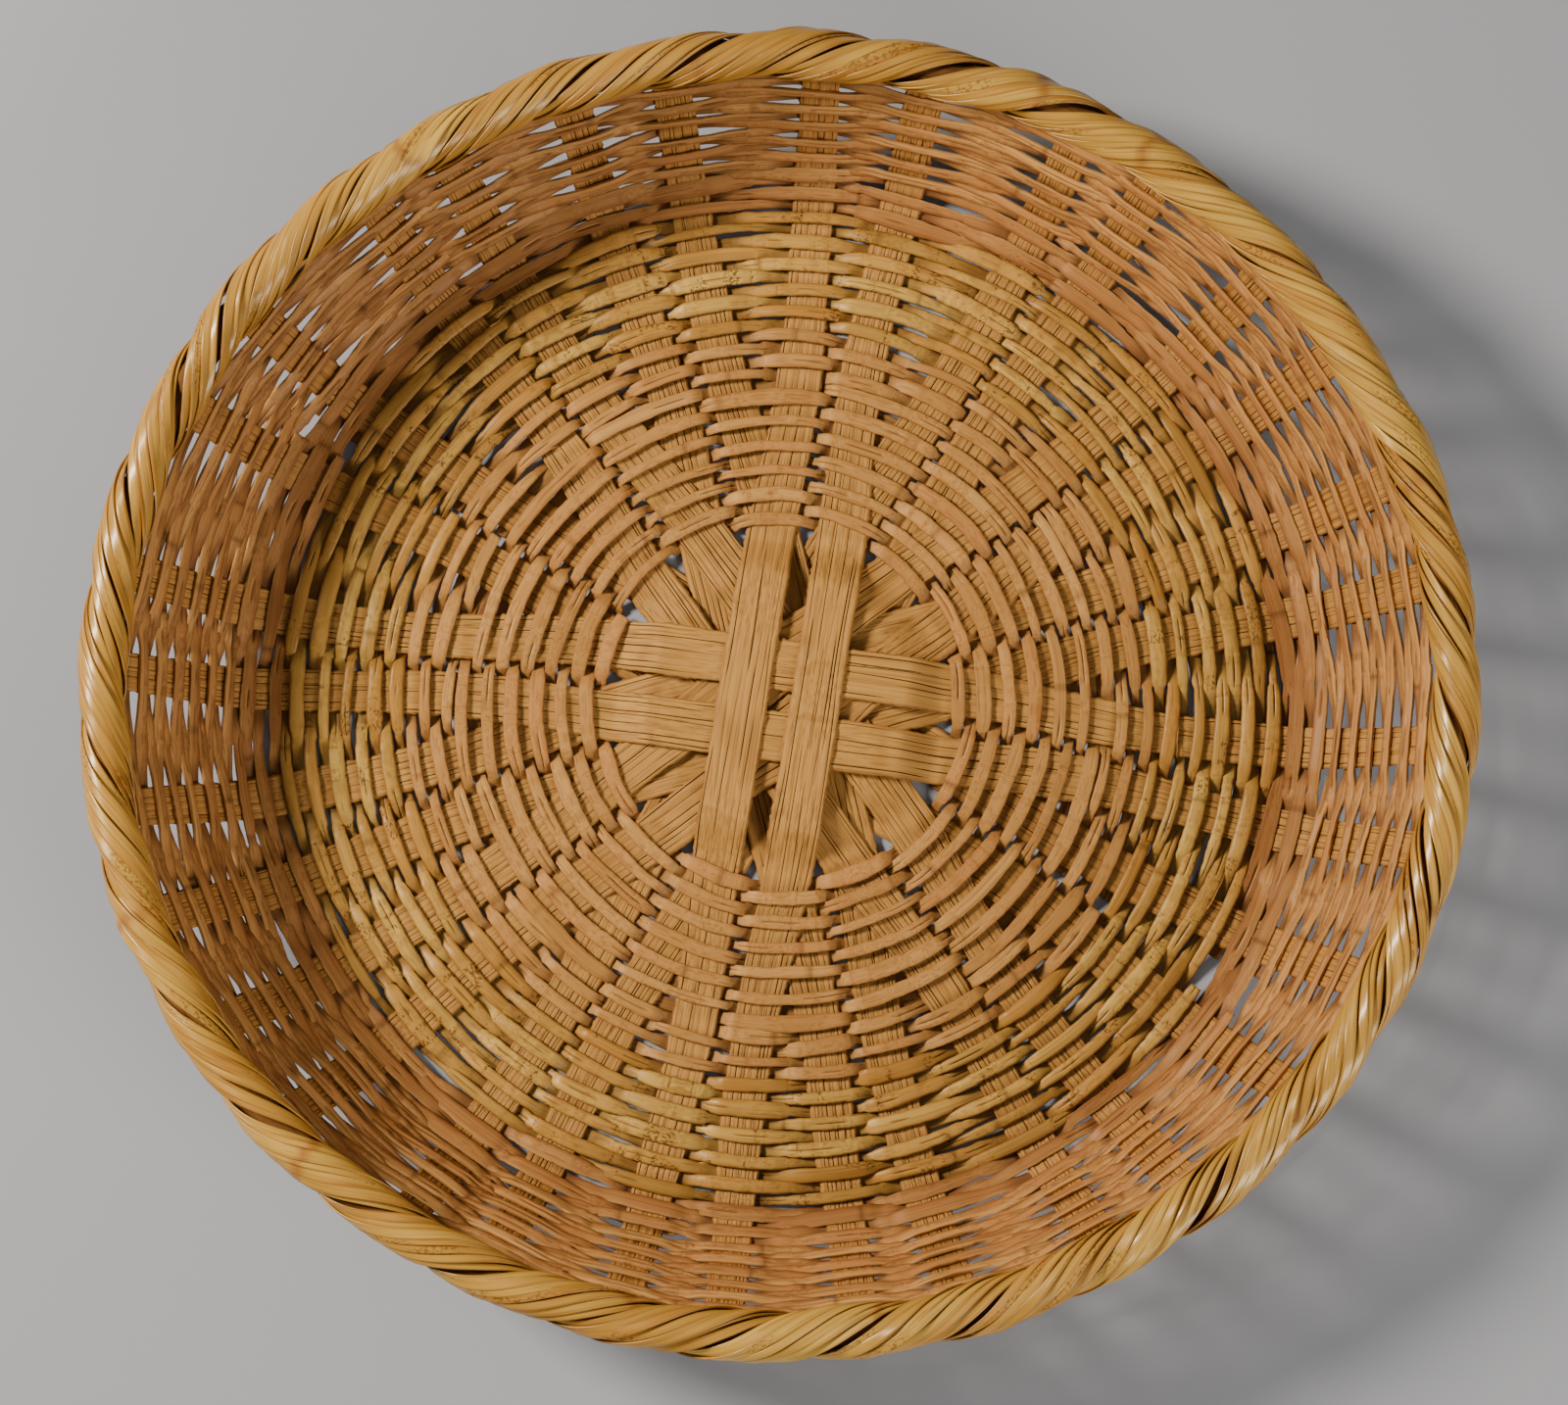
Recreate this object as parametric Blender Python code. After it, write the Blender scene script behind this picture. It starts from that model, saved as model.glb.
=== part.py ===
"""Shallow round winnowing basket, woven from split cane.

Sixteen flat spokes cross in eight pairs at the middle and turn up into the wall. Two
weavers chase each other outwards in a spiral: over and under pairs of spokes near the
middle, then over and under single spokes to the top of the wall. A ring of cane wrapped
by thirty-two twisted bundles finishes the rim.

The basket lies on its base, +Z up out of its mouth. The origin is the middle of the base,
on the surface that the basket rests on. Lengths are metres, and angles are radians
unless a name says degrees.
"""

import math

import bmesh
import bpy
from mathutils import Vector

# Overall shape, along the middle of the weave
FLAT_RADIUS = 0.185
BEND_RADIUS = 0.030
WALL_SLOPE = math.radians(58)
RIM_CORE_X = 0.242
WEAVE_HEIGHT = 0.00275
BASE_OVAL = 0.010
RIM_OVAL = 0.048

# Spokes
SPOKE_THICKNESS = 0.0009
SPOKE_WIDTH_MIDDLE = 0.016
SPOKE_WIDTH_BASE = 0.014
SPOKE_WIDTH_RIM = 0.013
SPOKE_OFFSET = 0.0135
SPOKE_LEVEL = 0.0006
UPPER_RAMP = (0.0465, 0.0605)
LOWER_RAMP = (0.0436, 0.0575)
FAN_START = 0.062
FAN_END = 0.170
LEVEL_MERGE_START = 0.118
LEVEL_MERGE_END = 0.132
SPOKE_TO_RIM = 0.0086

# Weaving
FIRST_ROW = 0.0664
ROW_PITCH = 0.00468
START_DEGREES = 328.0
STROKE_MARGIN = 0.0008
WALL_SWING = 0.0030

# Rim
WRAP_COUNT = 32
WRAP_OUTER = 0.0080
WRAP_INNER = 0.0056
WRAP_HALF_WIDTH = math.radians(82)
WRAP_STEPS = 6
WRAP_TURN = 2 * 2 * math.pi / WRAP_COUNT
WRAP_END_GAP = math.radians(0.12)
CORE_RADIUS = 0.0030
CORE_STEPS = 32

# Each pair of spokes, from the top of the crossing down: its direction, then where its
# right and left spokes meet the wall ahead, and where the same two meet it behind. The
# height is the pair's own layer at the crossing.
SPOKE_PAIRS = (
    # direction, right ahead, left ahead, left behind, right behind, height
    (80.75, 76.3, 86.1, 255.6, 265.0, 0.0120),
    (172.20, 169.8, 178.5, 345.6, 355.0, 0.0108),
    (36.00, 31.1, 40.6, 211.1, 221.3, 0.0084),
    (125.25, 121.8, 129.9, 300.1, 309.2, 0.0072),
    (14.80, 9.4, 18.9, 190.5, 200.3, 0.0060),
    (103.35, 100.1, 109.6, 277.3, 286.4, 0.0048),
    (58.30, 53.5, 61.6, 234.9, 243.3, 0.0018),
    (148.50, 144.6, 154.4, 321.8, 333.3, 0.0006),
)
UPPER_PAIRS = 4

# Weaver zones: name, turns from and to, strip width and thickness, spokes per stroke,
# points per stroke, material name
ZONES = (
    ("base_weaver", 0, 6, 0.0039, 0.0014, 2, 2, "tan_cane"),
    ("field_weaver", 6, 8, 0.0039, 0.0015, 1, 2, "tan_cane"),
    ("rind_weaver", 8, 13, 0.0040, 0.0017, 1, 2, "rind_cane"),
    ("shoulder_weaver", 13, 15, 0.0034, 0.0015, 1, 2, "tan_cane"),
    ("wall_weaver", 15, 21, 0.0030, 0.0012, 1, 1, "tan_cane"),
)

# Linear base colour and roughness of each kind of cane
CANE = {
    "spoke_cane": ((0.50, 0.29, 0.12), 0.62),
    "tan_cane": ((0.48, 0.23, 0.08), 0.50),
    "rind_cane": ((0.58, 0.37, 0.09), 0.34),
    "rim_rind": ((0.60, 0.38, 0.10), 0.32),
    "core_cane": ((0.34, 0.19, 0.08), 0.70),
}

BEND_LENGTH = BEND_RADIUS * WALL_SLOPE
WALL_LENGTH = (RIM_CORE_X - FLAT_RADIUS - BEND_RADIUS * math.sin(WALL_SLOPE)) / math.cos(WALL_SLOPE)
RIM_REACH = FLAT_RADIUS + BEND_LENGTH + WALL_LENGTH


def clear_scene():
    for thing in list(bpy.data.objects):
        bpy.data.objects.remove(thing, do_unlink=True)


def mix(a, b, share):
    return a + (b - a) * share


def ramp(value, low, high):
    return min(max((value - low) / (high - low), 0.0), 1.0)


def smooth(value, low, high):
    share = ramp(value, low, high)
    return share * share * (3 - 2 * share)


def profile(reach):
    """Radius, height and slope at a distance along the surface from the middle."""
    if reach <= FLAT_RADIUS:
        return reach, 0.0, 0.0
    turned = min((reach - FLAT_RADIUS) / BEND_RADIUS, WALL_SLOPE)
    up_wall = max(reach - FLAT_RADIUS - BEND_LENGTH, 0.0)
    radius = FLAT_RADIUS + BEND_RADIUS * math.sin(turned) + up_wall * math.cos(WALL_SLOPE)
    height = BEND_RADIUS * (1 - math.cos(turned)) + up_wall * math.sin(WALL_SLOPE)
    return radius, height, turned


def on_basket(angle, reach, lift=0.0):
    """The point at an angle and reach, lifted off the weave's middle into the bowl."""
    radius, height, slope = profile(reach)
    oval = mix(BASE_OVAL, RIM_OVAL, ramp(reach, FLAT_RADIUS, RIM_REACH))
    radius = (radius - lift * math.sin(slope)) * (1 - oval * math.sin(angle) ** 2)
    height += WEAVE_HEIGHT + lift * math.cos(slope)
    return Vector((radius * math.cos(angle), radius * math.sin(angle), height))


def cane_material(name):
    colour, roughness = CANE[name]
    material = bpy.data.materials.get(name) or bpy.data.materials.new(name)
    material.use_nodes = True
    shader = material.node_tree.nodes["Principled BSDF"]
    shader.inputs["Base Color"].default_value = (*colour, 1.0)
    shader.inputs["Roughness"].default_value = roughness
    shader.inputs["Metallic"].default_value = 0.0
    return material


def skin(bm, a, b, c, d):
    """Two triangles on the corners of one side, split along the shorter diagonal."""
    if (a.co - c.co).length < (b.co - d.co).length:
        corners = ((a, b, c), (a, c, d))
    else:
        corners = ((a, b, d), (b, c, d))
    for triangle in corners:
        bm.faces.new(triangle)


def loft(name, sections, material, closed=False):
    """A closed body through equal sections, capped at its ends unless it is a ring."""
    bm = bmesh.new()
    rings = [[bm.verts.new(point) for point in section] for section in sections]
    sides = len(rings[0])
    following = rings[1:] + (rings[:1] if closed else [])
    for ring, after in zip(rings, following):
        for i in range(sides):
            j = (i + 1) % sides
            skin(bm, ring[i], ring[j], after[j], after[i])
    for ring in () if closed else (rings[0], rings[-1]):
        if sides == 3:
            bm.faces.new(ring)
        for i in range(sides // 2 - 1):
            bm.faces.new((ring[i], ring[i + 1], ring[sides - 2 - i], ring[sides - 1 - i]))
    bmesh.ops.recalc_face_normals(bm, faces=bm.faces)
    mesh = bpy.data.meshes.new(name)
    bm.to_mesh(mesh)
    bm.free()
    body = bpy.data.objects.new(name, mesh)
    body.data.materials.append(cane_material(material))
    bpy.context.scene.collection.objects.link(body)
    return body


class Arm:
    """Half of a spoke, from the crossing out to the rim."""

    def __init__(self, direction, offset, end, layer, upper):
        self.direction = math.radians(direction)
        self.offset = offset
        self.end = math.radians(end)
        self.layer = layer
        self.level = WEAVE_HEIGHT + (SPOKE_LEVEL if upper else -SPOKE_LEVEL)
        self.ramp = UPPER_RAMP if upper else LOWER_RAMP

    def angle(self, reach):
        straight = self.direction + math.asin(self.offset / reach)
        turn = math.remainder(self.end - straight, 2 * math.pi)
        return straight + turn * smooth(reach, FAN_START, FAN_END)

    def lift(self, reach, along):
        """Height above the weave's middle: stacked at the crossing, one level outside."""
        crossing = mix(self.layer, self.level, ramp(along, *self.ramp))
        merged = smooth(reach, LEVEL_MERGE_START, LEVEL_MERGE_END)
        return mix(crossing, WEAVE_HEIGHT, merged) - WEAVE_HEIGHT

    def centre(self, reach):
        along = math.sqrt(max(reach ** 2 - self.offset ** 2, 0.0))
        return on_basket(self.angle(reach), reach, self.lift(reach, along))


def make_arms():
    """The arms of every spoke, as (spoke name, arm ahead, arm behind)."""
    spokes = []
    for place, pair in enumerate(SPOKE_PAIRS):
        direction, right, left, left_behind, right_behind, layer = pair
        upper = place < UPPER_PAIRS
        for side, offset, ahead, behind in (
            ("right", -SPOKE_OFFSET, right, right_behind),
            ("left", SPOKE_OFFSET, left, left_behind),
        ):
            front = Arm(direction, offset, ahead, layer, upper)
            back = Arm(direction + 180, -offset, behind, layer, upper)
            spokes.append((f"spoke_{place + 1}_{side}", front, back))
    return spokes


def spoke_width(reach):
    width = mix(SPOKE_WIDTH_MIDDLE, SPOKE_WIDTH_BASE, smooth(reach, FAN_START, FAN_END))
    return mix(width, SPOKE_WIDTH_RIM, smooth(reach, FAN_END, RIM_REACH))


def arm_sections(arm):
    """Flat cross-sections of one arm, from beside the crossing out to below the rim."""
    reaches = [math.hypot(along, arm.offset) for along in arm.ramp]
    reaches += [0.090, LEVEL_MERGE_START, LEVEL_MERGE_END, 0.155, FLAT_RADIUS]
    reaches += [FLAT_RADIUS + BEND_LENGTH * share for share in (0.25, 0.5, 0.75, 1.0)]
    reaches.append(RIM_REACH - SPOKE_TO_RIM)
    sections = []
    for reach in reaches:
        tangent = arm.centre(reach + 1e-4) - arm.centre(reach - 1e-4)
        angle = arm.angle(reach)
        slope = profile(reach)[2]
        outward = Vector((math.cos(angle), math.sin(angle), 0.0))
        normal = Vector((0.0, 0.0, math.cos(slope))) - outward * math.sin(slope)
        across = tangent.cross(normal).normalized() * (spoke_width(reach) / 2)
        through = normal * (SPOKE_THICKNESS / 2)
        middle = arm.centre(reach)
        sections.append(
            [middle - across - through, middle + across - through,
             middle + across + through, middle - across + through]
        )
    return sections


def flip(section):
    """The same section seen from the other arm, so that the two arms join untwisted."""
    low_a, low_b, high_b, high_a = section
    return [low_b, low_a, high_a, high_b]


def build_spokes(spokes):
    for name, ahead, behind in spokes:
        back = [flip(section) for section in reversed(arm_sections(behind))]
        loft(name, back + arm_sections(ahead), "spoke_cane")


def stroke_groups(arms, size):
    """Neighbouring arms taken one or two at a time, in order of angle."""
    ordered = sorted(arms, key=lambda arm: arm.end)
    if size == 1:
        return [[arm] for arm in ordered]
    turned = ordered[-1:] + ordered[:-1]
    return [turned[i:i + 2] for i in range(0, len(turned), 2)]


def spiral_reach(turn, chase):
    return FIRST_ROW + ROW_PITCH * (2 * turn + chase)


def stroke_points(group, reach, points):
    """Angles at which a stroke over or under a group of spokes starts and ends."""
    angles = [arm.angle(reach) for arm in group]
    first = angles[0]
    angles = [first + math.remainder(a - first, 2 * math.pi) for a in angles]
    if points == 1:
        return [angles[0]]
    spread = (spoke_width(reach) / 2 + STROKE_MARGIN) / reach
    return [min(angles) - spread, max(angles) + spread]


def weaver_stations(groups, first_turn, last_turn, chase, points, swing):
    """(angle, reach, lift) along one weaver; chase is 0 or 1 for the two weavers."""
    start = math.radians(START_DEGREES)
    stations = []
    for whole in range(int(first_turn) - 2, int(last_turn) + 3):
        for order, group in enumerate(groups):
            middle = sum(arm.end for arm in group) / len(group)
            if len(group) == 2 and group[0].end > group[1].end:
                middle -= math.pi
            turn = whole + math.remainder(middle - start - math.pi, 2 * math.pi) / (2 * math.pi) + 0.5
            if not first_turn - chase / 2 <= turn < last_turn - chase / 2:
                continue
            reach = spiral_reach(turn, chase)
            lift = swing if order % 2 == chase else -swing
            stations.append((turn, [(a, reach, lift) for a in stroke_points(group, reach, points)]))
    stations.sort(key=lambda station: station[0])
    return [point for _, stroke in stations for point in stroke]


def build_weavers(arms):
    for name, first, last, width, thickness, size, points, material in ZONES:
        swing = WEAVE_HEIGHT - thickness / 2 if points == 2 else WALL_SWING
        groups = stroke_groups(arms, size)
        for chase, letter in enumerate("ab"):
            sections = []
            for angle, reach, lift in weaver_stations(groups, first, last, chase, points, swing):
                sections.append([
                    on_basket(angle, reach - width / 2, lift - thickness / 2),
                    on_basket(angle, reach + width / 2, lift - thickness / 2),
                    on_basket(angle, reach, lift + thickness / 2),
                ])
            loft(f"{name}_{letter}", sections, material)


def rim_point(angle, around, distance):
    """A point beside the rim's core; around is 0 outwards and a quarter turn upwards."""
    core = on_basket(angle, RIM_REACH)
    outward = Vector((math.cos(angle), math.sin(angle), 0.0))
    return core + distance * (outward * math.cos(around) + Vector((0, 0, math.sin(around))))


def build_rim():
    core = []
    for step in range(CORE_STEPS):
        angle = 2 * math.pi * step / CORE_STEPS
        core.append([rim_point(angle, math.pi / 2 * side, CORE_RADIUS) for side in range(4)])
    loft("rim_core", core, "core_cane", closed=True)
    for number in range(WRAP_COUNT):
        start = 2 * math.pi * number / WRAP_COUNT
        sections = []
        for step in range(WRAP_STEPS + 1):
            gap = {0: WRAP_END_GAP, WRAP_STEPS: -WRAP_END_GAP}.get(step, 0.0)
            share = step / WRAP_STEPS
            angle = start + WRAP_TURN * share + gap
            around = -math.pi / 2 + 2 * math.pi * (share + gap / WRAP_TURN)
            spread = (-WRAP_HALF_WIDTH, 0.0, WRAP_HALF_WIDTH)
            outer = [rim_point(angle, around + turn, WRAP_OUTER) for turn in spread]
            inner = [rim_point(angle, around + turn, WRAP_INNER) for turn in reversed(spread)]
            sections.append(outer + inner)
        loft(f"rim_wrap_{number + 1:02d}", sections, "rim_rind")


clear_scene()
all_spokes = make_arms()
build_spokes(all_spokes)
build_weavers([arm for spoke in all_spokes for arm in spoke[1:]])
build_rim()
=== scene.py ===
"""Looks of the winnowing basket: the woven cane, its materials, the floor, light and camera.

Every strip is made again at its real section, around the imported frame: the flat spokes with
their splits, the weavers' over and under strokes, and the rim's twisted bundles.

Lengths are metres, and angles are radians unless a name says degrees. Reach is distance from
the middle along the basket's surface. Lift is height off the middle of the weave, towards
the inside of the bowl. A turn is once round the spiral of the weavers.
"""

import math
from dataclasses import dataclass

import bpy
import numpy as np
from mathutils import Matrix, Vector


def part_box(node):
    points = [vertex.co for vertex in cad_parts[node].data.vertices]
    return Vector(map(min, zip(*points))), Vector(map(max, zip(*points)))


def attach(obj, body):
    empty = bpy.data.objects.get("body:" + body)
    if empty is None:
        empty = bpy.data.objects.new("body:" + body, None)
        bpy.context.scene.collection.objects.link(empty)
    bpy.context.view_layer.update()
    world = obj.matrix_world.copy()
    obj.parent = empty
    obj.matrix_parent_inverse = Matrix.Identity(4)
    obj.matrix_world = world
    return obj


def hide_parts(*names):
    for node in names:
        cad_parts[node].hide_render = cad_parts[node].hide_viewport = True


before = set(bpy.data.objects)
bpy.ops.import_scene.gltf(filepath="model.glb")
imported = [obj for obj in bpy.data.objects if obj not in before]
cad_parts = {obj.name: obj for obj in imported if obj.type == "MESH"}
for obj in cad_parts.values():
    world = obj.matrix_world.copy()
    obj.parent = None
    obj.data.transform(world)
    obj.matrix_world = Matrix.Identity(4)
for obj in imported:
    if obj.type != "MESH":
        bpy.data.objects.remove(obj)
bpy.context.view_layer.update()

FULL_TURN = 2 * math.pi
UP = np.array([0.0, 0.0, 1.0])

# The basket's shape, as the CAD has it
core_low, core_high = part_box("rim_core")
CORE_RADIUS = (core_high[2] - core_low[2]) / 2
RIM_X = (core_high[0] - core_low[0]) / 2 - CORE_RADIUS
RIM_HEIGHT = (core_high[2] + core_low[2]) / 2
FLAT_RADIUS = 0.185
BEND_RADIUS = 0.030
WALL_SLOPE = math.radians(58)
BASE_OVAL = 0.010
RIM_OVAL = 0.048
WEAVE_HEIGHT = 0.00275
BEND_LENGTH = BEND_RADIUS * WALL_SLOPE
WALL_LENGTH = (RIM_X - FLAT_RADIUS - BEND_RADIUS * math.sin(WALL_SLOPE)) / math.cos(WALL_SLOPE)
RIM_REACH = FLAT_RADIUS + BEND_LENGTH + WALL_LENGTH

# The spiral of the weavers
FIRST_ROW = 0.0664
ROW_PITCH = 0.00468
START = math.radians(328)

# The spokes' routes
SPOKE_OFFSET = 0.0135
SPOKE_LEVEL = 0.0006
UPPER_RAMP = (0.0465, 0.0605)
LOWER_RAMP = (0.0436, 0.0575)
FAN = (0.062, 0.170)
LEVEL_MERGE = (0.118, 0.132)
UPPER_PAIRS = 4
SPOKE_SHORT_OF_RIM = 0.0045

# direction, right ahead, left ahead, left behind, right behind (degrees), crossing height
SPOKE_PAIRS = (
    (80.75, 76.3, 86.1, 255.6, 265.0, 0.0120),
    (172.20, 169.8, 178.5, 345.6, 355.0, 0.0108),
    (36.00, 31.1, 40.6, 211.1, 221.3, 0.0084),
    (125.25, 121.8, 129.9, 300.1, 309.2, 0.0072),
    (14.80, 9.4, 18.9, 190.5, 200.3, 0.0060),
    (103.35, 100.1, 109.6, 277.3, 286.4, 0.0048),
    (58.30, 53.5, 61.6, 234.9, 243.3, 0.0018),
    (148.50, 144.6, 154.4, 321.8, 333.3, 0.0006),
)

# Spokes as the eye sees them
SPOKE_STEP = 0.0014
SPOKE_THICKNESS = 0.0011
SPOKE_WIDTHS = ((0.0, 0.0186), (0.062, 0.0182), (0.130, 0.0158), (0.190, 0.0150), (0.280, 0.0132))
SPOKE_SWAY = 0.0003
SLAT_RISE = 0.00011
SPLIT_DEPTH = 0.00085
SPLIT_SHOULDER = 0.012
SPLIT_LIP_DROP = 0.00004
SPOKE_EDGE_DROP = 0.00025
FIRST_BROAD_PAIR = 3

# Weavers
STRIP_STEP = 0.0013
SKIN_GAP = 0.0001
WALL_SKIN_GAP = 0.00012
SPLIT_SINK = 0.62
OVER_ARCH = 0.16
WALL_SPREAD = 0.0014
STRIP_OVERRUN = 0.004
NODE_LENGTH = 0.0011

# Rim
WRAP_COUNT = 32
WRAP_TURN = math.radians(25)
WRAP_RADIUS = 0.0069
WRAP_STATIONS = 84
WRAP_STRIPS = 7
WRAP_STRIP_WIDTH = 0.0040
WRAP_STRIP_THICKNESS = 0.00085
WRAP_CROWN = 0.0019
WRAP_SWELL = 0.0011
WRAP_BAND_LENGTH = 0.0022
INNER_CORE_RADIUS = 0.0056
INNER_CORE_SIDES = 16


def mix(a, b, share):
    return a + (b - a) * share


def ramp(value, low, high):
    return np.clip((value - low) / (high - low), 0.0, 1.0)


def ease(share):
    return share * share * (3 - 2 * share)


def smooth(value, low, high):
    return ease(ramp(value, low, high))


def unit(vectors):
    return vectors / np.linalg.norm(vectors, axis=-1, keepdims=True)


class Wander:
    """A smooth random curve of about unit size, with features about one scale long."""

    def __init__(self, rng, scale, waves=5):
        self.rates = FULL_TURN / (scale * rng.uniform(0.7, 2.2, waves))
        self.phases = rng.uniform(0, FULL_TURN, waves)
        self.gain = 1.0 / math.sqrt(waves / 2)

    def __call__(self, x):
        x = np.asarray(x, float)[..., None]
        return self.gain * np.sin(x * self.rates + self.phases).sum(-1)


# ---------------------------------------------------------------- the basket's surface


def profile(reach):
    """Radius, height and slope of the surface."""
    reach = np.asarray(reach, float)
    turned = np.clip((reach - FLAT_RADIUS) / BEND_RADIUS, 0.0, WALL_SLOPE)
    up_wall = np.maximum(reach - FLAT_RADIUS - BEND_LENGTH, 0.0)
    radius = np.minimum(reach, FLAT_RADIUS) + BEND_RADIUS * np.sin(turned)
    radius = radius + up_wall * math.cos(WALL_SLOPE)
    height = BEND_RADIUS * (1 - np.cos(turned)) + up_wall * math.sin(WALL_SLOPE)
    return radius, height, turned


def on_basket(angle, reach, lift=0.0):
    radius, height, slope = profile(reach)
    oval = mix(BASE_OVAL, RIM_OVAL, ramp(np.asarray(reach, float), FLAT_RADIUS, RIM_REACH))
    radius = (radius - lift * np.sin(slope)) * (1 - oval * np.sin(angle) ** 2)
    height = height + WEAVE_HEIGHT + lift * np.cos(slope)
    return np.stack([radius * np.cos(angle), radius * np.sin(angle), height + 0 * radius], -1)


def normals(angle, reach):
    """Unit vectors off the surface into the bowl."""
    slope = profile(reach)[2]
    inward = -np.sin(slope)
    return np.stack([inward * np.cos(angle), inward * np.sin(angle), np.cos(slope)], -1)


# ---------------------------------------------------------------- spokes' paths


class Arm:
    """Half of a spoke, from the crossing out to the rim."""

    def __init__(self, direction, offset, end, layer, upper):
        self.direction = math.radians(direction)
        self.offset = offset
        self.end = math.radians(end)
        self.layer = layer
        self.level = WEAVE_HEIGHT + (SPOKE_LEVEL if upper else -SPOKE_LEVEL)
        self.ramp = UPPER_RAMP if upper else LOWER_RAMP
        self.first_row = spiral_reach(turns_at(self.end, 0), 0)
        self.first_over = 1.0

    def angle(self, reach):
        straight = self.direction + np.arcsin(np.clip(self.offset / reach, -1, 1))
        turn = np.remainder(self.end - straight + math.pi, FULL_TURN) - math.pi
        return straight + turn * smooth(reach, *FAN)

    def lift(self, reach, along):
        share = ramp(along, *self.ramp)
        share = mix(share, ease(share), 0.5)
        crossing = mix(self.layer, self.level, share)
        return mix(crossing, WEAVE_HEIGHT, smooth(reach, *LEVEL_MERGE)) - WEAVE_HEIGHT


def spiral_reach(turn, chase):
    """How far out a weaver lies. chase is 0 for weaver a, and 1 for b, one row outside it."""
    return FIRST_ROW + ROW_PITCH * (2 * turn + chase)


def turns_at(angle, whole):
    """The turn at an angle, after so many whole turns from the start."""
    share = math.remainder(angle - START - math.pi, FULL_TURN) / FULL_TURN + 0.5
    return whole + share


def make_spokes():
    """Name, pair, and the arms ahead and behind of each spoke."""
    spokes = []
    for pair, (direction, right, left, left_back, right_back, layer) in enumerate(SPOKE_PAIRS, 1):
        upper = pair <= UPPER_PAIRS
        for side, offset, ahead, behind in (
            ("right", -SPOKE_OFFSET, right, right_back),
            ("left", SPOKE_OFFSET, left, left_back),
        ):
            front = Arm(direction, offset, ahead, layer, upper)
            back = Arm(direction + 180, -offset, behind, layer, upper)
            spokes.append((f"spoke_{pair}_{side}", pair, front, back))
    return spokes


def spoke_width(reach):
    return np.interp(reach, *zip(*SPOKE_WIDTHS))


# ---------------------------------------------------------------- mesh making


def tube_mesh(name, tubes, material, node):
    """One piece made of closed tubes, each a dict of points (stations, around, 3) and fields.

    A field is kept on the mesh as an attribute for the material: a value for each point, for
    each station or place around, or one for the whole tube.
    """
    points, quads, caps, fields = [], [], [], {}
    base = 0
    for tube in tubes:
        grid = tube["points"]
        stations, around = grid.shape[:2]
        index = base + np.arange(stations * around).reshape(stations, around)
        after = np.roll(index, -1, axis=1)
        quads.append(np.stack([index[:-1], after[:-1], after[1:], index[1:]], -1).reshape(-1, 4))
        caps.append(index[0][::-1])
        caps.append(index[-1])
        points.append(grid.reshape(-1, 3))
        for key, value in tube["fields"].items():
            whole = np.broadcast_to(value, (stations, around)).reshape(-1)
            fields.setdefault(key, []).append(whole)
        base += stations * around
    points = np.concatenate(points)
    quads = np.concatenate(quads)
    loops = np.concatenate([quads.reshape(-1)] + caps)
    sizes = np.concatenate([np.full(len(quads), 4), [len(cap) for cap in caps]])
    mesh = bpy.data.meshes.new(name)
    mesh.vertices.add(len(points))
    mesh.vertices.foreach_set("co", points.astype(np.float32).reshape(-1))
    mesh.loops.add(len(loops))
    mesh.loops.foreach_set("vertex_index", loops.astype(np.int32))
    mesh.polygons.add(len(sizes))
    mesh.polygons.foreach_set("loop_start", (np.cumsum(sizes) - sizes).astype(np.int32))
    mesh.update(calc_edges=True)
    for key, values in fields.items():
        layer = mesh.attributes.new(key, "FLOAT", "POINT")
        layer.data.foreach_set("value", np.concatenate(values).astype(np.float32))
    mesh.polygons.foreach_set("use_smooth", np.ones(len(sizes), bool))
    mesh.update()
    piece = bpy.data.objects.new(name, mesh)
    bpy.context.scene.collection.objects.link(piece)
    piece.data.materials.append(material)
    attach(piece, "root")
    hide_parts(node)


def sweep(path, normal, widths, thicknesses, outline, roll):
    """Sections along a path: outline is (across, up) pairs from -1 to 1, seen along it."""
    tangent = unit(np.gradient(path, axis=0))
    side = unit(np.cross(tangent, normal))
    up = np.cross(side, tangent)
    roll = np.broadcast_to(roll, (len(path),))[:, None]
    turned_side = side * np.cos(roll) + up * np.sin(roll)
    turned_up = up * np.cos(roll) - side * np.sin(roll)
    widths = np.broadcast_to(widths, (len(path),))[:, None, None]
    thicknesses = np.broadcast_to(thicknesses, (len(path),))[:, None, None]
    across = outline[None, :, 0, None] * widths / 2
    rise = outline[None, :, 1, None] * thicknesses / 2
    return path[:, None] + turned_side[:, None] * across + turned_up[:, None] * rise


def travelled(path):
    steps = np.linalg.norm(np.diff(path, axis=0), axis=1)
    return np.concatenate([[0.0], np.cumsum(steps)])


def closed_outline(*half):
    """A section from its right half, (across, up) pairs from the top middle to the bottom."""
    half = np.array(half, float)
    other = half[(half[:, 0] > 1e-6)][::-1] * (-1, 1)
    return np.concatenate([half, other])


# ---------------------------------------------------------------- materials


def node(tree, kind, **values):
    made = tree.nodes.new(kind)
    for key, value in values.items():
        if key in made.inputs:
            made.inputs[key].default_value = value
        else:
            setattr(made, key, value)
    return made


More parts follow.
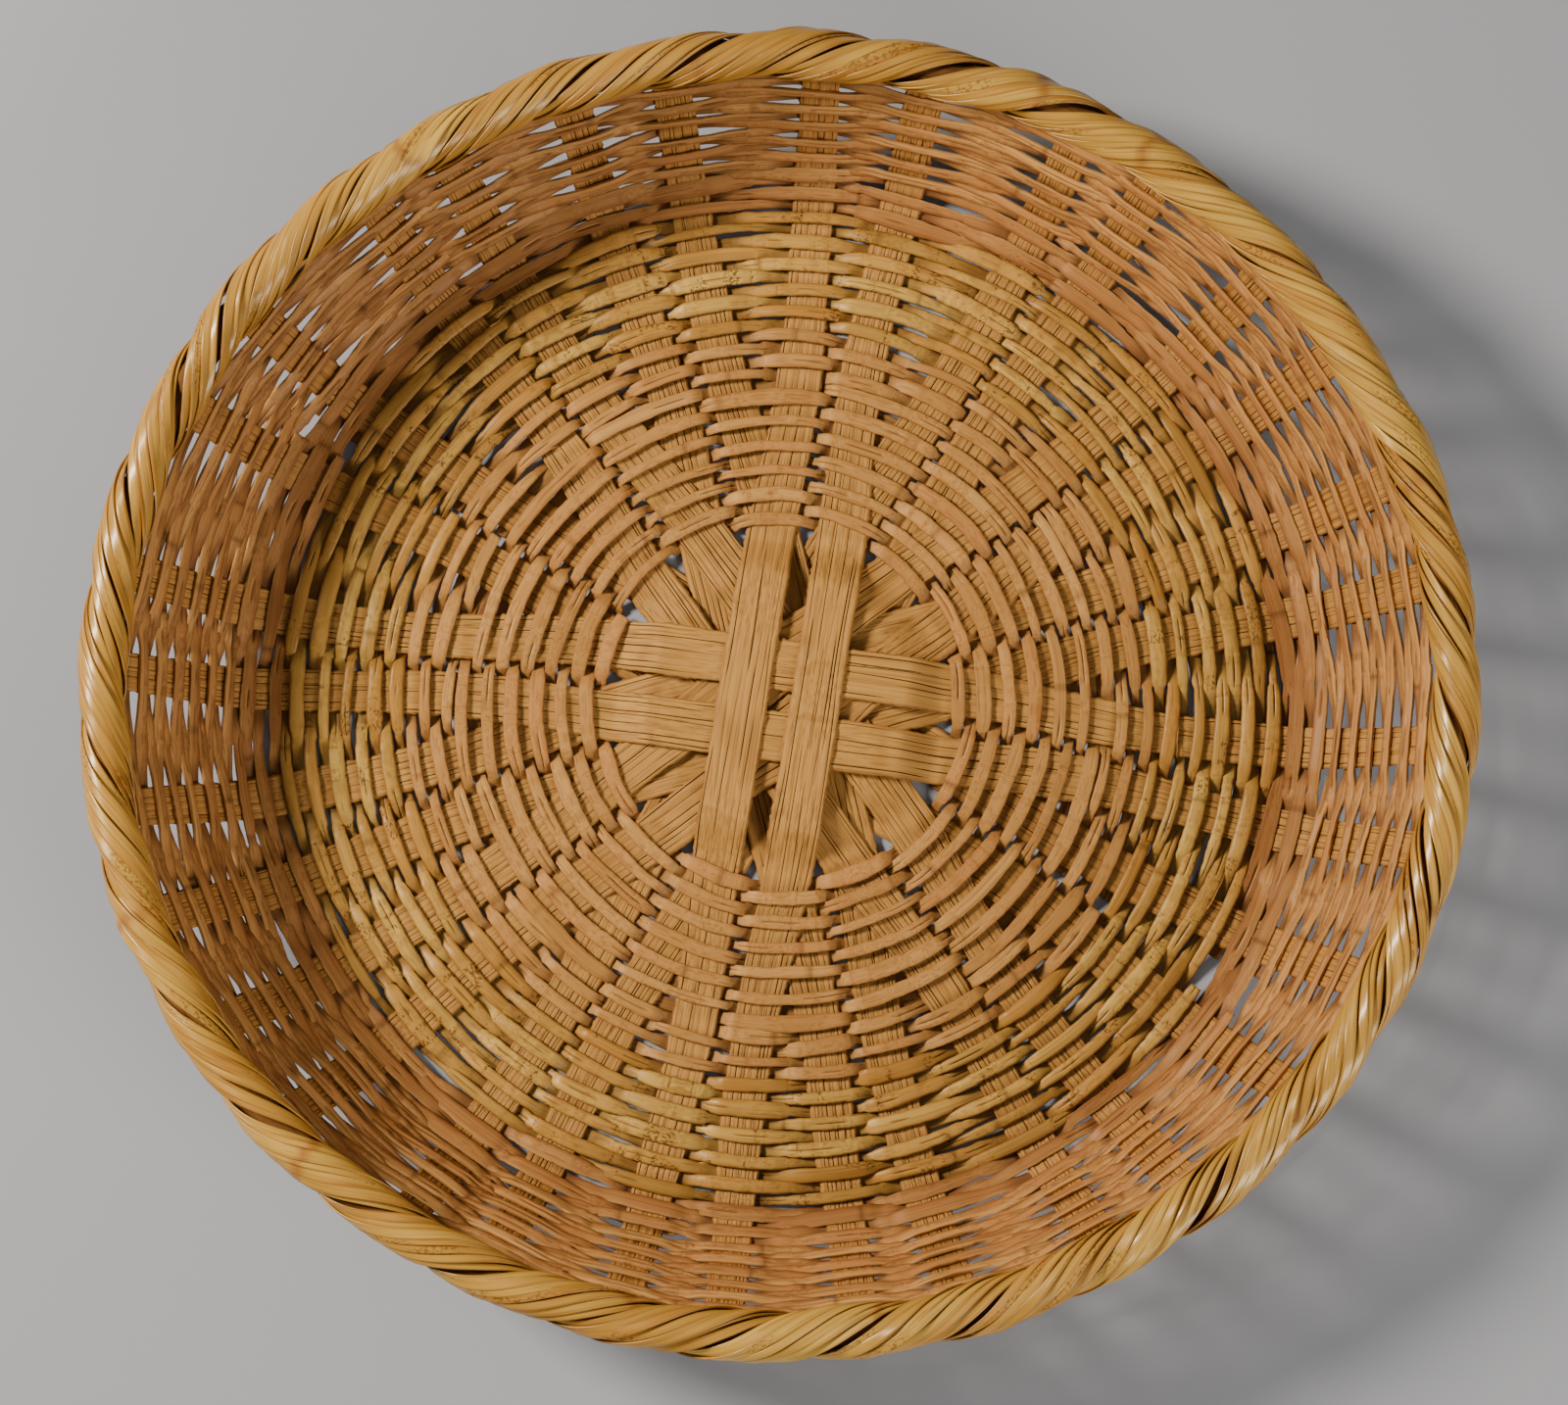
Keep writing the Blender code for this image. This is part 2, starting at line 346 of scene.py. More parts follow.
class Shader:
    """A short way to write a material's nodes."""

    def __init__(self, name):
        self.material = bpy.data.materials.new(name)
        self.material.use_nodes = True
        self.tree = self.material.node_tree
        self.inputs = self.tree.nodes["Principled BSDF"].inputs

    def put(self, socket, value):
        if isinstance(value, (int, float)):
            socket.default_value = value
        elif isinstance(value, tuple):
            socket.default_value = (*value, 1.0)[:len(socket.default_value)]
        else:
            self.tree.links.new(value, socket)

    def field(self, name):
        return node(self.tree, "ShaderNodeAttribute", attribute_name=name).outputs["Fac"]

    def math(self, operation, a, b, clamp=False):
        made = node(self.tree, "ShaderNodeMath", operation=operation, use_clamp=clamp)
        self.put(made.inputs[0], a)
        self.put(made.inputs[1], b)
        return made.outputs[0]

    def times(self, a, b):
        return self.math("MULTIPLY", a, b)

    def span(self, value, low, high, new_low=0.0, new_high=1.0):
        made = node(self.tree, "ShaderNodeMapRange", interpolation_type="SMOOTHSTEP")
        for place, part in enumerate((value, low, high, new_low, new_high)):
            self.put(made.inputs[place], part)
        return made.outputs[0]

    def colour(self, share, a, b):
        made = node(self.tree, "ShaderNodeMix", data_type="RGBA")
        self.put(made.inputs[0], share)
        self.put(made.inputs[6], a)
        self.put(made.inputs[7], b)
        return made.outputs[2]

    def noise(self, x, y, z, detail):
        place = node(self.tree, "ShaderNodeCombineXYZ")
        for socket, value in zip(place.inputs, (x, y, z)):
            self.put(socket, value)
        made = node(self.tree, "ShaderNodeTexNoise", Scale=1.0, Detail=detail, Roughness=0.55)
        self.put(made.inputs["Vector"], place.outputs[0])
        return made.outputs["Fac"]

    def bump(self, height, distance):
        made = node(self.tree, "ShaderNodeBump", Strength=0.9, Distance=distance)
        self.put(made.inputs["Height"], height)
        self.put(self.inputs["Normal"], made.outputs["Normal"])


def dimmed(colour, *shares):
    """A colour with only a share of its red, green and blue left."""
    return tuple(part * share for part, share in zip(colour, shares))


def cane_material(name, pale, deep, mark, roughness, grain, long=9.0, coat=0.0, coat_roughness=0.28,
                  shine=0.26, bump=0.0002, streak=0.5, shade=0.3, cracks=0.3, blemish=0.0,
                  blush=(0.50, 0.205, 0.055)):
    """Split cane: fibres along the strip, a tint for each length, marks at nodes, and painted shade
    in splits, under spokes and under strips.

    pale and deep are the ends of the tint field, blush is what the warm field turns it to,
    and mark is the brown of nodes and cut edges. The dark field blends towards a dimmed mark
    for nodes and for painted shade, and the edge field towards mark for cut edges and, on the
    wall strips, for a painted shaded lower edge. grain is fibres per metre across the
    strip, and long is how often they change in a metre along it. streak, shade, cracks and
    blemish are how strong the brown fibres, deep bands, fine cracks and specks are. shine is
    the specular level, and coat a clear skin on top with its own coat_roughness. bump is how
    far the fibres stand out, in metres.
    """
    s = Shader(name)
    along, across, tint, warm = (s.field(key) for key in ("along", "across", "tint", "warm"))
    edge, dark = s.field("edge"), s.field("dark")
    seed = s.times(tint, 37.0)

    def streaks(across_rate, along_rate, detail, seed=seed):
        return s.noise(s.times(across, across_rate), s.times(along, along_rate), seed, detail)

    fibre = streaks(grain, long, 2.0)
    fine = streaks(grain * 3.1, long * 3.5, 2.0)
    band = streaks(grain * 0.22, long * 0.8, 1.0)
    patch = streaks(60.0, 34.0, 1.0)
    crack = streaks(grain * 1.7, long * 2.2, 1.0, warm)
    base = s.colour(tint, deep, pale)
    base = s.colour(s.times(warm, 0.62), base, blush)
    base = s.colour(s.span(band, 0.35, 0.65, 0.0, shade), base, deep)
    base = s.colour(s.span(fibre, 0.52, 0.30, 0.0, streak), base, mark)
    base = s.colour(s.span(patch, 0.56, 0.80, 0.0, 0.40), base, mark)
    base = s.colour(s.span(crack, 0.34, 0.26, 0.0, cracks), base, dimmed(mark, 0.6, 0.55, 0.5))
    base = s.colour(s.span(fine, 0.35, 0.75, 0.0, 0.22), base, pale)
    if blemish:
        specks = s.span(streaks(1300.0, 700.0, 2.0), 0.48, 0.60)
        where = streaks(90.0, 22.0, 0.0, s.math("ADD", seed, 9.0))
        specks = s.times(specks, s.span(where, 0.64, 0.72, 0.0, blemish))
        base = s.colour(specks, base, dimmed(mark, 0.5, 0.5, 0.6))
    # edge browns cut edges and paints shade on the wall strips' lower edges; dark adds node marks
    # and painted shade
    base = s.colour(s.times(edge, 0.55), base, mark)
    base = s.colour(dark, base, dimmed(mark, 0.35, 0.30, 0.28))
    s.put(s.inputs["Base Color"], base)
    rough = s.math("ADD", roughness - 0.09, s.times(fibre, 0.18))
    s.put(s.inputs["Roughness"], s.math("ADD", rough, s.times(dark, 0.3), True))
    s.put(s.inputs["Specular IOR Level"], shine)
    s.put(s.inputs["Specular Tint"], (1.0, 0.80, 0.50))
    s.put(s.inputs["Coat Weight"], s.times(s.span(edge, 0.9, 0.1), coat))
    s.put(s.inputs["Coat Roughness"], coat_roughness)
    s.put(s.inputs["Coat Tint"], (1.0, 0.90, 0.70))
    s.bump(s.math("ADD", s.times(fibre, 0.7), s.times(fine, 0.3)), bump)
    return s.material


SPOKE_CANE = cane_material(
    "spoke_cane", (0.54, 0.272, 0.064), (0.36, 0.164, 0.033), (0.18, 0.058, 0.008), 0.58, 1500.0,
    long=7.0, bump=0.0003, streak=0.60, shade=0.45, cracks=0.85)
TAN_CANE = cane_material(
    "tan_cane", (0.54, 0.275, 0.075), (0.335, 0.142, 0.031), (0.20, 0.056, 0.007), 0.50, 1200.0,
    shine=0.28, shade=0.45)
WALL_CANE = cane_material(
    "wall_cane", (0.66, 0.330, 0.092), (0.325, 0.128, 0.032), (0.16, 0.042, 0.007), 0.52, 1400.0,
    coat=0.04, streak=0.6, shade=0.45)
RIND_CANE = cane_material(
    "rind_cane", (0.64, 0.386, 0.084), (0.31, 0.144, 0.025), (0.16, 0.048, 0.006), 0.44, 1000.0,
    coat=0.08, bump=0.00014, streak=0.45, shade=0.5, blemish=0.8, blush=(0.44, 0.175, 0.030))
RIM_RIND = cane_material(
    "rim_rind", (0.65, 0.395, 0.072), (0.38, 0.182, 0.024), (0.19, 0.050, 0.006), 0.34, 1100.0,
    long=14.0, coat=0.22, coat_roughness=0.20, shine=0.60, bump=0.00012, shade=0.45, cracks=0.6,
    blemish=0.6, blush=(0.40, 0.150, 0.026))
CORE_CANE = cane_material(
    "core_cane", (0.24, 0.092, 0.018), (0.12, 0.042, 0.008), (0.06, 0.018, 0.004), 0.75, 1500.0,
    streak=0.8)


# ---------------------------------------------------------------- spokes


def split_profile(rng, along):
    """Across the top of a spoke: its splits and slats. Returns places, heights and the painted shade
    in the splits.

    Places run from -1 at one edge to 1 at the other. A split is a groove with flat shoulders,
    which opens and closes along the spoke.
    """
    nothing = np.zeros(len(along))
    count = rng.integers(6, 10)
    centres = np.arange(count) + 0.5 + rng.uniform(-0.33, 0.33, count)
    centres = np.sort(centres / count * 1.84 - 0.92)
    slats = [Wander(rng, 0.06) for _ in range(count + 1)]
    places, heights, painted_groove_shade = [nothing - 1.0], [nothing], [nothing]
    for number, centre in enumerate(centres):
        middle = centre + 0.035 * Wander(rng, 0.12)(along)
        opening = smooth(Wander(rng, 0.07)(along) + rng.uniform(-0.75, 0.85), -0.4, 0.5)
        half = (0.005 + 0.012 * opening) * rng.uniform(0.5, 1.5)
        outer = half + SPLIT_SHOULDER
        before = SLAT_RISE * slats[number](along)
        after = SLAT_RISE * slats[number + 1](along)
        bottom = -SPLIT_DEPTH * opening
        between = (places[-1] + middle) / 2
        places += [between, middle - outer, middle - half, middle - half * 0.5]
        places += [middle + half * 0.5, middle + half, middle + outer]
        lips = before - SPLIT_LIP_DROP, after - SPLIT_LIP_DROP
        heights += [before, before, lips[0], bottom, bottom, lips[1], after]
        # painted shade darkens each split's groove, more as it opens
        painted_groove_shade += [nothing, nothing, 0.25 * opening, opening, opening, 0.25 * opening, nothing]
    places += [(places[-1] + 1.0) / 2, nothing + 1.0]
    heights += [SLAT_RISE * slats[-1](along), nothing]
    painted_groove_shade += [nothing, nothing]
    return np.stack(places, 1), np.stack(heights, 1), np.stack(painted_groove_shade, 1)


def spoke_tube(front, back, pair, seed):
    rng = np.random.default_rng(seed)
    far = math.sqrt((RIM_REACH - SPOKE_SHORT_OF_RIM) ** 2 - front.offset ** 2)
    place = np.linspace(-far, far, int(2 * far / SPOKE_STEP))
    reach = np.hypot(place, front.offset)
    ahead = place >= 0
    angle = np.where(ahead, front.angle(reach), back.angle(reach))
    lift = np.where(ahead, front.lift(reach, np.abs(place)), back.lift(reach, np.abs(place)))
    # it sways a little, down under each strip and up over the next
    first = np.where(ahead, front.first_row, back.first_row)
    over = np.where(ahead, front.first_over, back.first_over)
    sway = over * np.cos(math.pi * (reach - first) / ROW_PITCH)
    lift = lift - SPOKE_SWAY * sway * smooth(reach, FIRST_ROW - ROW_PITCH, FIRST_ROW + ROW_PITCH)
    path = on_basket(angle, reach, lift)
    side = unit(np.cross(unit(np.gradient(path, axis=0)), normals(angle, reach)))
    up = np.cross(side, unit(np.gradient(path, axis=0)))

    width = spoke_width(reach) * (1 + 0.02 * Wander(rng, 0.05)(place))
    if pair >= FIRST_BROAD_PAIR:
        # the pairs under the top two are broadest where they cross
        width = width * (1 + 0.12 * (1 - smooth(reach, 0.015, 0.045)))
    if pair == FIRST_BROAD_PAIR:
        # and the first of these closes the hole in the middle
        width = width * (1 + 0.24 * (1 - smooth(reach, 0.0135, 0.030)))
    places, heights, painted_groove_shade = split_profile(rng, place)
    top = places * (width / 2)[:, None]
    fray = 0.00022 * Wander(rng, 0.004)(place) + 0.0002 * Wander(rng, 0.011)(place)
    top[:, 0] -= np.abs(fray)
    top[:, -1] += np.abs(fray[::-1])
    under = np.stack([width / 2 * share for share in (1.0, 0.5, 0.0, -0.5, -1.0)], 1)
    across = np.concatenate([top, under], 1)
    edges = [0, top.shape[1] - 1]
    half = SPOKE_THICKNESS / 2
    rise = np.concatenate([half + heights, np.full(under.shape, -half)], 1)
    rise[:, edges] -= SPOKE_EDGE_DROP

    edge = np.zeros(across.shape)
    edge[:, edges] = 0.9
    tint = rng.uniform(0.30, 0.85) + 0.05 * Wander(rng, 0.09)(place)
    # it is darker and redder on the wall, and painted shade darkens it where a strip lies over it,
    # more so on the wall
    woven = smooth(reach, FIRST_ROW - ROW_PITCH, FIRST_ROW)
    on_wall = smooth(reach, FLAT_RADIUS - 0.008, FLAT_RADIUS + 0.012)
    painted_strip_shade = (0.12 + 0.42 * on_wall) * smooth(sway, -0.75, 0.4) * woven
    dark = np.concatenate([painted_groove_shade, np.zeros(under.shape)], 1)
    return {
        "points": path[:, None] + side[:, None] * across[..., None] + up[:, None] * rise[..., None],
        "fields": {
            "along": place[:, None],
            "across": across + 0.1 * seed,
            "tint": np.clip(tint - 0.35 * on_wall, 0, 1)[:, None],
            "edge": edge,
            "dark": np.clip(dark + painted_strip_shade[:, None], 0, 1),
            "warm": (rng.uniform(0.0, 0.35) + 0.4 * on_wall)[:, None],
        },
    }


# ---------------------------------------------------------------- weavers


# Sections. The first two points in each are the top middle and the lip of a split there.
FLAT = closed_outline((0, 1.06), (0.09, 1.06), (0.42, 1.05), (0.80, 0.98), (0.94, 0.84),
                      (1.0, 0.45), (1.0, -0.5), (0.94, -0.88), (0.80, -1.0))
DOMED = closed_outline((0, 1.0), (0.09, 0.995), (0.34, 0.96), (0.62, 0.84), (0.83, 0.60),
                       (0.95, 0.22), (1.0, -0.25), (0.94, -0.80), (0.76, -1.0))
THIN = closed_outline((0, 1.0), (0.12, 1.0), (0.80, 1.0), (0.95, 0.88), (1.0, 0.60),
                      (1.0, -0.78), (0.92, -1.0))
SLIVER = closed_outline((0, 1.0), (0.8, 0.3), (0.8, -0.8))


@dataclass
class Zone:
    """A stretch of the spiral woven with one kind of strip."""

    name: str
    first: int  # turns from the first row to where it starts
    last: int  # and to where it ends
    spokes: int  # spokes in one stroke
    stroke_width: float  # at the middle of a stroke
    meeting_width: float  # where two strokes meet
    thick: float
    wander: float  # how far it strays sideways
    tints: tuple  # its palest and deepest tint
    outline: np.ndarray
    material: bpy.types.Material
    slot: str
    slivers: int  # fibres split off its edges
    step: float = STRIP_STEP
    meeting_roll_degrees: float = 4.0  # spread of its roll where strokes meet
    stroke_roll_degrees: float = 6.0  # spread of its roll over a spoke
    tilt_degrees: float = 0.0  # roll that it has everywhere
    fullness: float = 4.4  # how soon a stroke comes to its full width
    painted_shade_under_spoke: float = 0.5  # how dark the painted shade is where it runs under a spoke
    split_from: float = 0.95  # the higher, the fewer splits along its middle
    on_wall: bool = False


ZONES = (
    Zone("base_weaver", 0, 6, 2, 0.0048, 0.0040, 0.00130, 0.00030, (0.10, 0.95), FLAT, TAN_CANE,
         "tan_cane", 5),
    Zone("field_weaver", 6, 8, 1, 0.0049, 0.0041, 0.00135, 0.00035, (0.10, 0.95), FLAT, TAN_CANE,
         "tan_cane", 4),
    Zone("rind_weaver", 8, 13, 1, 0.0051, 0.0042, 0.00170, 0.00040, (0.05, 0.95), DOMED, RIND_CANE,
         "rind_cane", 16),
    Zone("shoulder_weaver", 13, 15, 1, 0.0055, 0.0042, 0.00140, 0.00070, (0.0, 0.35), FLAT,
         WALL_CANE, "tan_cane", 16, meeting_roll_degrees=5, tilt_degrees=9, fullness=2.8,
         painted_shade_under_spoke=0.62, on_wall=True),
    Zone("wall_weaver", 15, 21, 1, 0.0031, 0.0042, 0.00165, 0.00060, (0.05, 0.95), THIN,
         WALL_CANE, "tan_cane", 60, step=STRIP_STEP * 1.18, meeting_roll_degrees=7,
         stroke_roll_degrees=10, tilt_degrees=14, fullness=2.8, painted_shade_under_spoke=0.62,
         split_from=-0.15, on_wall=True),
)
FIRST_ZONE, LAST_ZONE = ZONES[0], ZONES[-1]


def stroke_groups(arms, size):
    """Neighbouring arms taken one or two at a time, in order of angle."""
    ordered = sorted(arms, key=lambda arm: arm.end)
    if size == 1:
        return [[arm] for arm in ordered]
    turned = ordered[-1:] + ordered[:-1]
    return [turned[i:i + 2] for i in range(0, len(turned), 2)]


def group_middle(group):
    middle = sum(arm.end for arm in group) / len(group)
    if len(group) == 2 and group[0].end > group[1].end:
        middle -= math.pi
    return middle


def strokes(groups, first_turn, last_turn, chase):
    """Where one weaver's strokes start and end, in turns, and 1 for over or -1 for under."""
    found = []
    for whole in range(int(first_turn) - 2, int(last_turn) + 3):
        for order, group in enumerate(groups):
            middle = group_middle(group)
            turn = turns_at(middle, whole)
            if not first_turn - chase / 2 <= turn < last_turn - chase / 2:
                continue
            reach = spiral_reach(turn, chase)
            offsets = [math.remainder(float(arm.angle(reach)) - middle, FULL_TURN) for arm in group]
            spread = (float(spoke_width(reach)) / 2 + SKIN_GAP) / reach
            low = turn + (min(offsets) - spread) / FULL_TURN
            high = turn + (max(offsets) + spread) / FULL_TURN
            found.append((low, high, 1.0 if order % 2 == chase else -1.0))
    return sorted(found)


def swing_and_arch(zone, turn, lows, highs, signs):
    """How high a strip runs, from 1 over a spoke to -1 under it, and its arch over a stroke."""
    knots = np.stack([lows, highs], 1).reshape(-1)
    levels = np.repeat(signs, 2)
    at = np.clip(np.searchsorted(knots, turn) - 1, 0, len(knots) - 2)
    share = np.clip((turn - knots[at]) / (knots[at + 1] - knots[at]), 0, 1)
    in_gap = at % 2 == 1
    if zone.on_wall:
        # it bends close around each spoke and lies level between two
        leaves, arrives = 1 - smooth(share, 0, 0.46), smooth(share, 0.54, 1)
        swing = np.where(in_gap, levels[at] * leaves + levels[at + 1] * arrives, levels[at])
    else:
        swing = mix(levels[at], levels[at + 1], ease(share))
    return swing, np.where(in_gap, 0.0, np.sin(math.pi * share))


def stroke_fullness(zone, turn, lows, highs):
    """Each place's stroke, whether its middle is past, and 1 at its middle to 0 at its ends."""
    middles = (lows + highs) / 2
    meets = np.concatenate([turn[:1], (highs[:-1] + lows[1:]) / 2, turn[-1:]])
    stroke = np.clip(np.searchsorted(meets, turn) - 1, 0, len(middles) - 1)
    middle = middles[stroke]
    half = np.where(turn < middle, middle - meets[stroke], meets[stroke + 1] - middle)
    nearness = np.clip(1 - np.abs(turn - middle) / np.maximum(half, 1e-6), 0, 1)
    return stroke, turn > middle, 1 - (1 - nearness) ** zone.fullness


def cane_lengths(rng, zone, turn, lows, signs):
    """Tints and warmth of the lengths of cane in a strip, which change where it is underneath."""
    tints, warmth = np.zeros(len(turn)), np.zeros(len(turn))
    start = turn[0]
    while start < turn[-1]:
        rest = turn >= start
        tints[rest] = rng.uniform(*zone.tints)
        warmth[rest] = rng.choice([0.0, 0.15, 0.5, 1.0], p=(0.40, 0.25, 0.20, 0.15))
        start += rng.uniform(0.5, 1.3)
        later = lows[(lows > start) & (signs < 0)]
        start = later[0] if len(later) else turn[-1]
    return tints, warmth


def cane_nodes(rng, along):
    """Narrow bands round a strip, 1 at each of its cane's nodes."""
    places = np.cumsum(rng.uniform(0.09, 0.30, 400))
    places = places[places < along[-1]]
    nearest = np.abs(along[:, None] - places[None, :]).min(1)
    return np.exp(-(nearest / NODE_LENGTH) ** 2)


def weaver_tubes(zone, groups, chase):
    """A weaver's strip, and the slivers on it."""
    rng = np.random.default_rng(sum(map(ord, zone.name)) + 17 * chase)
    outline = zone.outline
    row = strokes(groups, zone.first, zone.last, chase)
    lows, highs, signs = (np.array(part) for part in zip(*row))
    start, end = lows[0] - STRIP_OVERRUN, highs[-1] + STRIP_OVERRUN
    length = math.pi * sum(profile(spiral_reach(t, chase))[0] for t in (start, end)) * (end - start)
    turn = np.linspace(start, end, int(length / zone.step))
    swing, arch = swing_and_arch(zone, turn, lows, highs, signs)
    stroke, past_middle, plump = stroke_fullness(zone, turn, lows, highs)

    stroke_wide = rng.normal(1.0, 0.14, len(row)).clip(0.70, 1.30)
    stroke_roll = rng.normal(0.0, math.radians(zone.stroke_roll_degrees), len(row)) * (signs > 0)
    stray = zone.wander * Wander(rng, 0.09)(turn)
    stray = stray + zone.wander * 0.35 * Wander(rng, 0.045)(turn)
    reach = spiral_reach(turn, chase) + WALL_SPREAD * smooth(turn, 16, 21) + stray
    angle = START + FULL_TURN * turn
    top = WEAVE_HEIGHT - zone.thick / 2 - SKIN_GAP
    if zone.on_wall:
        top = SPOKE_THICKNESS / 2 + zone.thick / 2 + WALL_SKIN_GAP
    path = on_basket(angle, reach, top * swing * (1 + OVER_ARCH * arch * (swing > 0)))
    normal = normals(angle, reach)
    along = travelled(path)

    rough = 1 + 0.022 * Wander(rng, 0.005)(along) + 0.03 * Wander(rng, 0.018)(along)
    widths = mix(zone.meeting_width, zone.stroke_width, plump) * stroke_wide[stroke] * rough
    if zone is FIRST_ZONE:
        # the first rows round the crossing are the broadest
        widths = widths * (1 + 0.13 * (1 - smooth(turn, 0.6, 2.4)))
    if zone is LAST_ZONE:
        # the wall is woven closer on the left than on the right
        widths = widths * (1 + 0.26 * smooth(-np.cos(angle - 0.25), -0.45, 0.65))
    twist = rng.normal(0.0, math.radians(zone.meeting_roll_degrees), len(row) + 1)
    roll = mix(twist[stroke + past_middle], stroke_roll[stroke], plump)
    points = sweep(path, normal, widths, zone.thick, outline, roll - math.radians(zone.tilt_degrees))

    tints, warmth = cane_lengths(rng, zone, turn, lows, signs)
    tints += rng.normal(0, 0.10, len(row))[stroke] + 0.05 * Wander(rng, 0.03)(turn)
    warmth += rng.normal(0, 0.16, len(row))[stroke]
    dark = 0.55 * cane_nodes(rng, along)[:, None] * (outline[None, :, 1] > -0.2)
    # painted shade where the strip runs under a spoke
    dark = np.clip(dark + zone.painted_shade_under_spoke * smooth(-swing, 0.0, 1.0)[:, None], 0, 1)
    # here and there the strip has split along its middle, and painted shade darkens the groove
    split = smooth(Wander(rng, 0.03)(along), zone.split_from, zone.split_from + 0.35)
    bottom = (points[:, len(outline) // 2] + points[:, len(outline) // 2 + 1]) / 2
    points[:, 0] += (bottom - points[:, 0]) * SPLIT_SINK * split[:, None]
    dark[:, 0] = np.maximum(dark[:, 0], 0.9 * split)
    sideways = outline[:, 0]
    edge = ramp(np.abs(sideways), 0.72, 1.0)
    painted_lit_edge = 0.0
    if zone.on_wall:
        # painted light: the edge towards the rim is painted paler as a lit edge and the rest a
        # little darker, and the lower edge painted brown as shade
        edge = 1.5 * ramp(-sideways, 0.30, 1.0)
        painted_lit_edge = 0.65 * ramp(sideways, 0.45, 0.90) - 0.12
    strip = {
        "points": points,
        "fields": {
            "along": along[:, None],
            "across": sideways[None, :] * widths[:, None] / 2 + 0.3 * chase,
            "tint": np.clip(tints[:, None] + painted_lit_edge, 0, 1),
            "edge": edge,
            "dark": dark,
            "warm": np.clip(warmth, 0, 1)[:, None],
        },
    }
    slivers = [
        sliver_tube(rng, path, normal, widths, zone.thick, along, tints) for _ in range(zone.slivers)
    ]
    return [strip] + slivers


def sliver_tube(rng, path, normal, widths, thick, along, tints):
    """A fibre split off a strip's edge: fast at one end and sticking up at the other."""
    count = int(rng.integers(6, 14))
    first = int(rng.integers(20, len(path) - 40))
    part = slice(first, first + count)
    share = np.linspace(0, 1, count)
    if rng.random() < 0.5:
        share = share[::-1]
    tangent = unit(np.gradient(path[part], axis=0))
    side = unit(np.cross(tangent, normal[part])) * rng.choice([-1.0, 1.0])
    away = (share ** 2)[:, None]
    spread, height = rng.uniform(0.0002, 0.0014), rng.uniform(0.0003, 0.0016)
    centre = path[part] + side * (widths[part, None] / 2 - 0.0003 + spread * away)
    centre = centre + normal[part] * (thick * 0.25 + height * away)
    size = rng.uniform(0.0005, 0.0009) * (1.05 - 0.8 * share)
    return {
        "points": sweep(centre, normal[part], size, size * 0.6, SLIVER, 0.0),
        "fields": {
            "along": along[part, None],
            "across": rng.uniform(0, 1),
            "tint": np.clip(tints[first] + rng.normal(0, 0.2), 0, 1),
            "edge": 0.0,
            "dark": 0.0,
            "warm": rng.uniform(0, 0.6),
        },
    }


# ---------------------------------------------------------------- rim

RIM_STRIP = closed_outline((0, 1.0), (0.55, 0.95), (0.86, 0.78), (1.0, 0.15), (0.92, -1.0))


def rim_frame(angle):
    """The middle of the rim, and the way straight out from it."""
    core = on_basket(angle, np.full(np.shape(angle), RIM_REACH))
    return core, np.stack([np.cos(angle), np.sin(angle), 0 * angle], -1)


def wrap_tubes(number):
    """The strips of one bundle, side by side, once round the rim from below to below."""
    rng = np.random.default_rng(900 + number)
    start = FULL_TURN / WRAP_COUNT * number
    bundle_radius = WRAP_RADIUS * rng.uniform(0.92, 1.04)
    bundle_tint = rng.uniform(0.2, 0.85)
    bundle_warm = rng.uniform(0.0, 0.35)
    # half of the bundles have a band of cane nodes across them, at this share of their length
    band_at = rng.uniform(0.15, 0.85) if rng.random() < 0.5 else -1.0
    spread = math.radians(rng.uniform(142, 164))
    share = np.linspace(-0.10, 1.08, WRAP_STATIONS)
    gather = mix(0.72, 1.0, smooth(share, 0.10, 0.55))
    tuck = smooth(share, -0.10, 0.06) * smooth(share, 1.08, 0.90)
    swell = WRAP_SWELL * (np.sin(math.pi * np.clip(share, 0, 1)) ** 2 - 0.5)
    tubes = []
    for strip in range(WRAP_STRIPS):
        place = strip - (WRAP_STRIPS - 1) / 2
        skew = rng.uniform(-0.012, 0.012)
        angle = start + WRAP_TURN * (share + skew * (share - 0.5)) + rng.normal(0, 0.004)
        beside = place * spread / WRAP_STRIPS * gather
        around = -math.pi / 2 + FULL_TURN * share + beside + rng.normal(0, 0.035)
        crown = WRAP_CROWN * (1 - (place / WRAP_STRIPS * 2) ** 2) + swell
        ripple = 0.00016 * Wander(rng, 0.4)(share) + rng.normal(0, 0.00022)
        radius = (bundle_radius + crown + ripple) * mix(0.62, 1.0, tuck)
        core, outward = rim_frame(angle)
        radial = outward * np.cos(around)[:, None] + UP * np.sin(around)[:, None]
        path = core + radial * radius[:, None]
        width = WRAP_STRIP_WIDTH * rng.uniform(0.70, 1.22)
        width = width * mix(0.75, 1.0, tuck) * mix(0.86, 1.0, gather)
        roll = 0.12 + rng.normal(0, 0.13) + 0.05 * Wander(rng, 0.5)(share)
        along = travelled(path)
        band = along[-1] * (band_at + rng.normal(0, 0.008))
        band = np.exp(-((along - band) / WRAP_BAND_LENGTH) ** 2)[:, None]
        rust = 0.7 * (rng.random() < 0.14)
        sideways = RIM_STRIP[:, 0]
        tubes.append({
            "points": sweep(path, radial, width, WRAP_STRIP_THICKNESS, RIM_STRIP, roll),
            "fields": {
                "along": along[:, None] + 0.37 * number,
                "across": sideways[None, :] * width[:, None] / 2 + 0.05 * strip,
                "tint": np.clip(bundle_tint + rng.normal(0, 0.14), 0, 1),
                "edge": ramp(np.abs(sideways), 0.62, 1.0),
                "dark": band * 0.25,
                "warm": np.clip(bundle_warm + rust + rng.normal(0, 0.12) + 1.5 * band, 0, 1.5),
            },
        })
    return tubes


